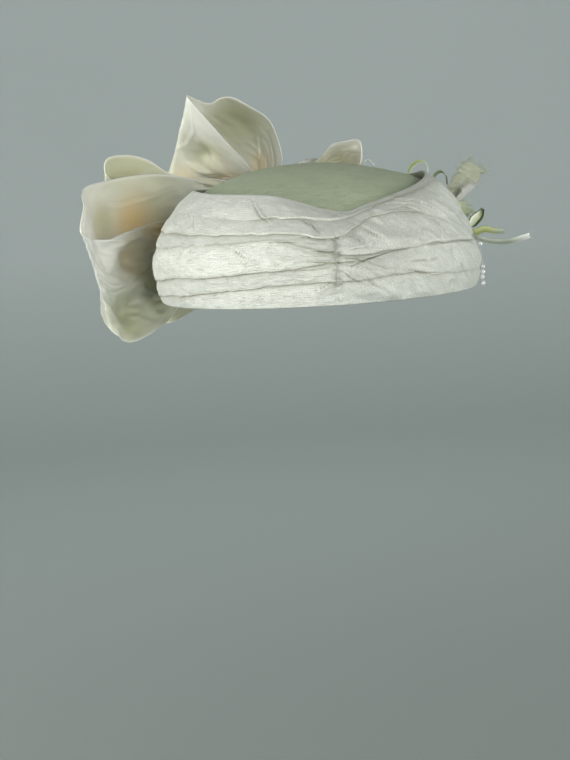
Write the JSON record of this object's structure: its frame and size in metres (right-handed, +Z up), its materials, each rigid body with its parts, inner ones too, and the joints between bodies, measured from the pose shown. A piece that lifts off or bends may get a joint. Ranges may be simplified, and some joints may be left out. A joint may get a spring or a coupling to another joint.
{
  "type": "hat",
  "caption": "Small pleated silk bridal hat with a wide ribbon bow at the back left and a spray of silk petals, ribbon grass and crystals at the back right.",
  "frame": {"origin": "middle of the head opening, in the plane of the rim", "axes": "+Z up through the crown, -Y toward the wearer's face, +X to the right as seen from the front"},
  "size_m": [0.255, 0.233, 0.1359],
  "materials": {
    "crown_silk": "matte woven silk",
    "drape_silk": "slubbed silk with a soft sheen",
    "ribbon": "smooth satin sheen",
    "petal_silk": "thin frayed silk",
    "grass_ribbon_leaf": "satin, green edges",
    "grass_ribbon_yellow": "satin",
    "grass_ribbon_white": "satin",
    "grass_ribbon_striped": "satin, green bands on cream",
    "grass_ribbon_olive": "satin",
    "crystal": "clear, cut",
    "thread": "clear monofilament"
  },
  "bodies": {
    "root": {"crown": "crown_silk", "side_drape": "drape_silk", "bow_loop_large": "ribbon", "bow_loop_back": "ribbon", "bow_loop_upright": "ribbon", "bow_loop_small": "ribbon", "bow_loop_low": "ribbon", "bow_tail": "ribbon", "bow_knot": "ribbon", "spray_pad": "petal_silk", "petal_tall": "petal_silk", "petal_inner": "petal_silk", "petal_low": "petal_silk", "leaf_striped": "grass_ribbon_leaf", "grass_yellow": "grass_ribbon_yellow", "grass_white": "grass_ribbon_white", "grass_curl_striped": "grass_ribbon_striped", "grass_curl_olive": "grass_ribbon_olive", "grass_curl_pale": "grass_ribbon_white", "crystal_1": "crystal", "crystal_2": "crystal", "crystal_3": "crystal", "crystal_4": "crystal", "crystal_5": "crystal", "crystal_thread": "thread"}
  },
  "joints": []
}
